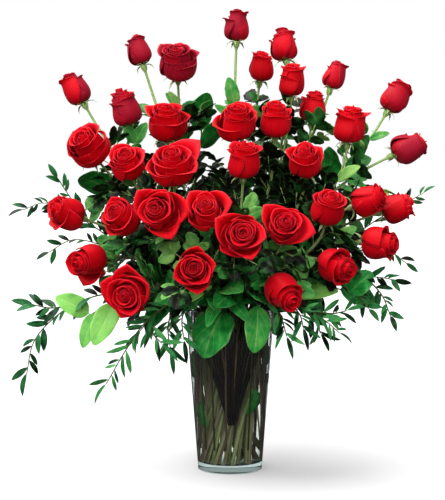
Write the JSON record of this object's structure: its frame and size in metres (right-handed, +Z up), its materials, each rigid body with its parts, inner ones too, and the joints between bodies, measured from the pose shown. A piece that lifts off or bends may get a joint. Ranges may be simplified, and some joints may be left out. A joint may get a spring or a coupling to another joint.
{
  "type": "roses in a vase",
  "caption": "Large fan-shaped bouquet of long-stemmed red roses with broad salal leaves and trailing ruscus sprays, standing in a tall tapered clear glass vase of water.",
  "frame": {"origin": "centre of the vase's flat foot, on the surface that the vase stands on", "axes": "+Z up along the vase's axis, +X to the right of the bouquet, and -Y towards the side that the bouquet faces"},
  "size_m": [0.7489, 0.4581, 0.7992],
  "materials": {
    "petals": "satin",
    "rose_stems_and_leaves": "satin",
    "salal": "satin",
    "ruscus": "satin",
    "vase_glass": "polished",
    "water": "polished"
  },
  "bodies": {
    "root": {"rose_bloom_01": "petals", "rose_bloom_02": "petals", "rose_bloom_03": "petals", "rose_bloom_04": "petals", "rose_bloom_05": "petals", "rose_bloom_06": "petals", "rose_bloom_07": "petals", "rose_bloom_08": "petals", "rose_bloom_09": "petals", "rose_bloom_10": "petals", "rose_bloom_11": "petals", "rose_bloom_12": "petals", "rose_bloom_13": "petals", "rose_bloom_14": "petals", "rose_bloom_15": "petals", "rose_bloom_16": "petals", "rose_bloom_17": "petals", "rose_bloom_18": "petals", "rose_bloom_19": "petals", "rose_bloom_20": "petals", "rose_bloom_21": "petals", "rose_bloom_22": "petals", "rose_bloom_23": "petals", "rose_bloom_24": "petals", "rose_bloom_25": "petals", "rose_bloom_26": "petals", "rose_bloom_27": "petals", "rose_bloom_28": "petals", "rose_bloom_29": "petals", "rose_bloom_30": "petals", "rose_bloom_31": "petals", "rose_bloom_32": "petals", "rose_bloom_33": "petals", "rose_bloom_34": "petals", "rose_bloom_35": "petals", "rose_bloom_36": "petals", "rose_stems_1": "rose_stems_and_leaves", "rose_stems_2": "rose_stems_and_leaves", "rose_stems_3": "rose_stems_and_leaves", "rose_stems_4": "rose_stems_and_leaves", "rose_stems_5": "rose_stems_and_leaves", "rose_stems_6": "rose_stems_and_leaves", "rose_stems_7": "rose_stems_and_leaves", "rose_stems_8": "rose_stems_and_leaves", "rose_stems_9": "rose_stems_and_leaves", "salal_front": "salal", "salal_left": "salal", "salal_right": "salal", "salal_back_left": "salal", "salal_back_right": "salal", "ruscus_left_up": "ruscus", "ruscus_left_low": "ruscus", "ruscus_front_left": "ruscus", "ruscus_front_right": "ruscus", "ruscus_right_low": "ruscus", "ruscus_right_up": "ruscus", "ruscus_back_left": "ruscus", "ruscus_back_right": "ruscus", "vase": "vase_glass", "water": "water"}
  },
  "joints": []
}
